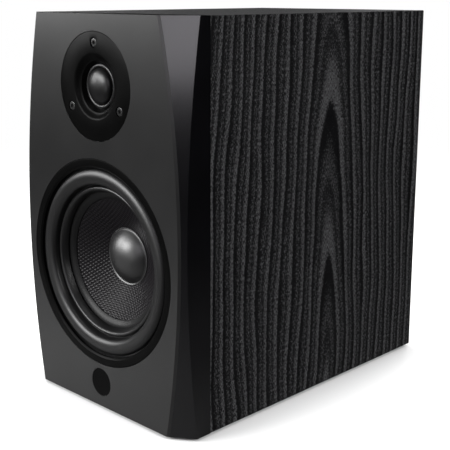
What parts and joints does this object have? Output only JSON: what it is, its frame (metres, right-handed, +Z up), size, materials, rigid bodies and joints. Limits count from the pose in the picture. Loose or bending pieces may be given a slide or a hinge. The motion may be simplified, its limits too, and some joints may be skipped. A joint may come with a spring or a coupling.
{
  "type": "bookshelf speaker",
  "caption": "Two-way bookshelf speaker: black ash cabinet, curved bevelled baffle, woofer with woven cone, dome tweeter, rear port and binding posts.",
  "frame": {"origin": "centre of the speaker's footprint, on the surface that its feet stand on", "axes": "+Z up, -Y out of the front baffle, +X to the right seen from the front"},
  "size_m": [0.204, 0.313, 0.3325],
  "materials": {
    "black_ash": "black ash, satin, open grain",
    "raw_board": "plain board",
    "foam": "open cell foam",
    "gloss_black": "piano black lacquer",
    "satin_grey": "satin gunmetal paint",
    "badge_black": "satin black, blank",
    "foot_rubber": "matt rubber",
    "matt_black": "fine matt black",
    "cast_black": "black powder coat",
    "black_steel": "black oxide steel",
    "surround_rubber": "satin butyl rubber",
    "woven_cone": "woven composite, satin",
    "cap_satin": "satin black",
    "former_film": "amber film",
    "copper": "enamelled copper",
    "spider_cloth": "impregnated cloth",
    "motor_steel": "zinc plated steel",
    "ferrite": "ferrite",
    "fibre_board": "fibre board",
    "dome_silk": "coated silk",
    "board_green": "circuit board",
    "capacitor_wrap": "yellow film wrap",
    "ceramic": "cement body",
    "wire_sheath": "red and black wire sheath",
    "black_plastic": "moulded black plastic",
    "brass_metal": "gold plated brass",
    "red_plastic": "red plastic"
  },
  "bodies": {
    "cabinet": {"side_panel_left": "black_ash", "side_panel_right": "black_ash", "top_panel": "black_ash", "bottom_panel": "black_ash", "back_panel": "black_ash", "shelf_brace": "raw_board", "acoustic_foam": "foam", "front_baffle": "gloss_black", "baffle_face_plate": "satin_grey", "badge": "badge_black", "foot_front_left": "foot_rubber", "foot_front_right": "foot_rubber", "foot_back_left": "foot_rubber", "foot_back_right": "foot_rubber", "woofer_trim_ring": "matt_black", "woofer_basket": "cast_black", "woofer_gasket": "foot_rubber", "woofer_screws": "black_steel", "woofer_surround": "surround_rubber", "woofer_spider": "spider_cloth", "woofer_top_plate": "motor_steel", "woofer_magnet": "ferrite", "woofer_yoke": "motor_steel", "woofer_terminal_strip": "fibre_board", "woofer_tinsel_leads": "brass_metal", "tweeter_faceplate": "matt_black", "tweeter_screws": "black_steel", "tweeter_surround": "dome_silk", "tweeter_top_plate": "motor_steel", "tweeter_magnet": "ferrite", "tweeter_yoke": "motor_steel", "tweeter_rear_cup": "black_plastic", "tweeter_terminals": "fibre_board", "crossover_board": "board_green", "crossover_standoffs": "motor_steel", "woofer_inductor": "copper", "tweeter_inductor": "copper", "crossover_capacitors": "capacitor_wrap", "crossover_resistor": "ceramic", "input_wires": "wire_sheath", "woofer_wires": "wire_sheath", "tweeter_wires": "wire_sheath", "port_tube": "black_plastic", "terminal_cup": "black_plastic", "terminal_cup_screws": "black_steel", "binding_posts": "brass_metal", "terminal_nuts": "motor_steel"},
    "woofer_moving_part": {"woofer_cone": "woven_cone", "woofer_dust_cap": "cap_satin", "woofer_coil_former": "former_film", "woofer_coil_winding": "copper"},
    "tweeter_moving_part": {"tweeter_dome": "dome_silk", "tweeter_voice_coil": "copper"},
    "red_insert": {"red_cap_insert": "brass_metal"},
    "red_cap": {"red_terminal_cap": "red_plastic"},
    "black_insert": {"black_cap_insert": "brass_metal"},
    "black_cap": {"black_terminal_cap": "black_plastic"}
  },
  "joints": [
    {"name": "woofer_stroke", "type": "slide", "parent": "cabinet", "child": "woofer_moving_part", "axis": [0, 1, 0], "range_m": [-0.005, 0.005], "stiffness_N_per_m": 1000, "deforming": ["woofer_surround", "woofer_spider", "woofer_tinsel_leads"]},
    {"name": "tweeter_stroke", "type": "slide", "parent": "cabinet", "child": "tweeter_moving_part", "axis": [0, 1, 0], "range_m": [-0.0005, 0.0005], "stiffness_N_per_m": 400, "deforming": ["tweeter_surround"]},
    {"name": "red_travel", "type": "slide", "parent": "cabinet", "child": "red_insert", "axis": [0, 1, 0], "range_m": [0, 0.002]},
    {"name": "red_turn", "type": "hinge", "parent": "red_insert", "child": "red_cap", "pos_m": [-0.0095, 0.1295, 0.0805], "axis": [0, 1, 0], "range_deg": [0, 720]},
    {"name": "black_travel", "type": "slide", "parent": "cabinet", "child": "black_insert", "axis": [0, 1, 0], "range_m": [0, 0.002]},
    {"name": "black_turn", "type": "hinge", "parent": "black_insert", "child": "black_cap", "pos_m": [0.0095, 0.1295, 0.0805], "axis": [0, 1, 0], "range_deg": [0, 720]}
  ],
  "couplings": [
    {"joint": "red_turn", "follows": "red_travel", "rad_per_m": 6283.2},
    {"joint": "black_turn", "follows": "black_travel", "rad_per_m": 6283.2}
  ]
}
